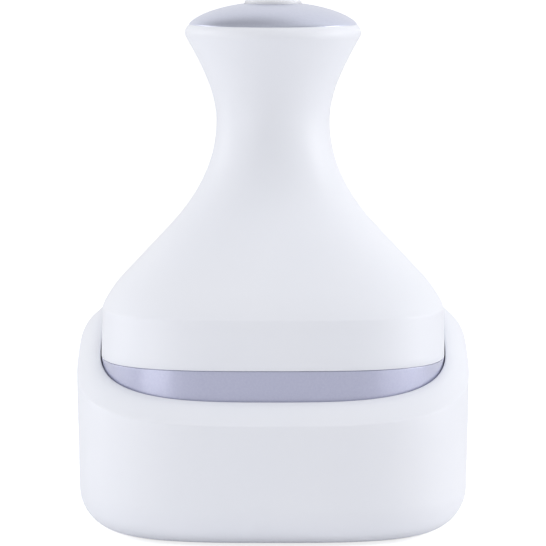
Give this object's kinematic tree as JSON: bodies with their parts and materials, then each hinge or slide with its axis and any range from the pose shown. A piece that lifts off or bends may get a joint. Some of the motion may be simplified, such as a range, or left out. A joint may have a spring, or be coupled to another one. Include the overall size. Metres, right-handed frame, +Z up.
{
  "type": "electric scalp massager",
  "caption": "Waisted hand-held massager with a domed push-button cap and counter-rotating fingered pads, standing in a rounded square recharge stand with a slanted rim.",
  "frame": {"origin": "centre of the stand's footprint, on the surface that its rubber feet stand on", "axes": "+Z up through the handle, -Y towards the front, where the stand's rim is lowest, +X to the right seen from the front"},
  "size_m": [0.12, 0.12, 0.1619],
  "materials": {
    "shell_plastic": "satin",
    "stand_plastic": "satin",
    "tray_plastic": "fine matte",
    "base_plastic": "satin",
    "trim_lavender": "fine pearl lacquer",
    "cap_lavender": "satin pearl",
    "button_plastic": "satin",
    "silicone": "soft matte",
    "hub_plastic": "moulded",
    "frame_plastic": "moulded",
    "gear_nylon": "moulded",
    "brass": "machined",
    "bush_bronze": "sintered",
    "steel": "plated",
    "motor_steel": "plated",
    "circuit_board": "solder mask",
    "battery_wrap": "shrink film",
    "black_plastic": "moulded",
    "seal_rubber": "matte",
    "foot_rubber": "matte",
    "contact_gold": "gold plated",
    "lead_red": "insulation",
    "lead_black": "insulation"
  },
  "bodies": {
    "stand": {"stand_housing": "stand_plastic", "stand_tray": "tray_plastic", "stand_base": "tray_plastic", "stand_feet": "foot_rubber", "stand_screws": "steel", "stand_board": "circuit_board", "inlet_jack": "black_plastic", "inlet_pin": "contact_gold", "pin_sleeves": "contact_gold", "stand_leads": "lead_red"},
    "handpiece": {"body_shell": "shell_plastic", "trim_band": "trim_lavender", "top_cap": "cap_lavender", "switch_body": "black_plastic", "switch_board": "circuit_board", "inner_frame": "frame_plastic", "battery_cell": "battery_wrap", "main_board": "circuit_board", "motor_can": "motor_steel", "gearhead": "motor_steel", "gearbox_cover": "frame_plastic", "upper_bushes": "bush_bronze", "base_plate": "base_plastic", "lower_bushes": "bush_bronze", "shaft_seals": "seal_rubber", "main_seal": "seal_rubber", "chassis_screws": "steel", "frame_screws": "steel", "charge_pads": "contact_gold", "charge_leads": "lead_red", "motor_leads": "lead_black"},
    "button": {"power_button": "button_plastic", "switch_plunger": "black_plastic"},
    "rotor": {"motor_shaft": "steel", "motor_pinion": "brass"},
    "spindle_fl": {"output_shaft_fl": "steel", "output_gear_fl": "gear_nylon", "drive_wheel": "gear_nylon", "head_hub_fl": "hub_plastic", "massage_pad_fl": "silicone"},
    "spindle_fr": {"output_shaft_fr": "steel", "output_gear_fr": "gear_nylon", "head_hub_fr": "hub_plastic", "massage_pad_fr": "silicone"},
    "spindle_rl": {"output_shaft_rl": "steel", "output_gear_rl": "gear_nylon", "head_hub_rl": "hub_plastic", "massage_pad_rl": "silicone"},
    "spindle_rr": {"output_shaft_rr": "steel", "output_gear_rr": "gear_nylon", "head_hub_rr": "hub_plastic", "massage_pad_rr": "silicone"},
    "contact_left": {"contact_pin_left": "contact_gold"},
    "contact_right": {"contact_pin_right": "contact_gold"}
  },
  "joints": [
    {"name": "handpiece_lift", "type": "slide", "parent": "stand", "child": "handpiece", "axis": [0, 0, 1], "range_m": [0, 0.12]},
    {"name": "button_press", "type": "slide", "parent": "handpiece", "child": "button", "axis": [0, 0, -1], "range_m": [0, 0.0005], "stiffness_N_per_m": 2500, "springref_m": -0.0003},
    {"name": "spindle_fl_spin", "type": "hinge", "parent": "handpiece", "child": "spindle_fl", "pos_m": [-0.02151, -0.02151, 0.041], "axis": [0, 0, 1], "continuous": true},
    {"name": "spindle_fr_spin", "type": "hinge", "parent": "handpiece", "child": "spindle_fr", "pos_m": [0.02151, -0.02151, 0.041], "axis": [0, 0, 1], "continuous": true},
    {"name": "spindle_rl_spin", "type": "hinge", "parent": "handpiece", "child": "spindle_rl", "pos_m": [-0.02151, 0.02151, 0.041], "axis": [0, 0, 1], "continuous": true},
    {"name": "spindle_rr_spin", "type": "hinge", "parent": "handpiece", "child": "spindle_rr", "pos_m": [0.02151, 0.02151, 0.041], "axis": [0, 0, 1], "continuous": true},
    {"name": "rotor_spin", "type": "hinge", "parent": "handpiece", "child": "rotor", "pos_m": [0, 0, 0.06], "axis": [0, 0, 1], "continuous": true},
    {"name": "contact_left_press", "type": "slide", "parent": "stand", "child": "contact_left", "axis": [0, 0, -1], "range_m": [0, 0.0008], "stiffness_N_per_m": 500, "springref_m": -0.0004},
    {"name": "contact_right_press", "type": "slide", "parent": "stand", "child": "contact_right", "axis": [0, 0, -1], "range_m": [0, 0.0008], "stiffness_N_per_m": 500, "springref_m": -0.0004}
  ],
  "couplings": [
    {"joint": "spindle_fr_spin", "follows": "spindle_fl_spin", "ratio": -1},
    {"joint": "spindle_rl_spin", "follows": "spindle_fl_spin", "ratio": -1},
    {"joint": "spindle_rr_spin", "follows": "spindle_fl_spin", "ratio": 1},
    {"joint": "rotor_spin", "follows": "spindle_fl_spin", "ratio": -2.5556}
  ]
}
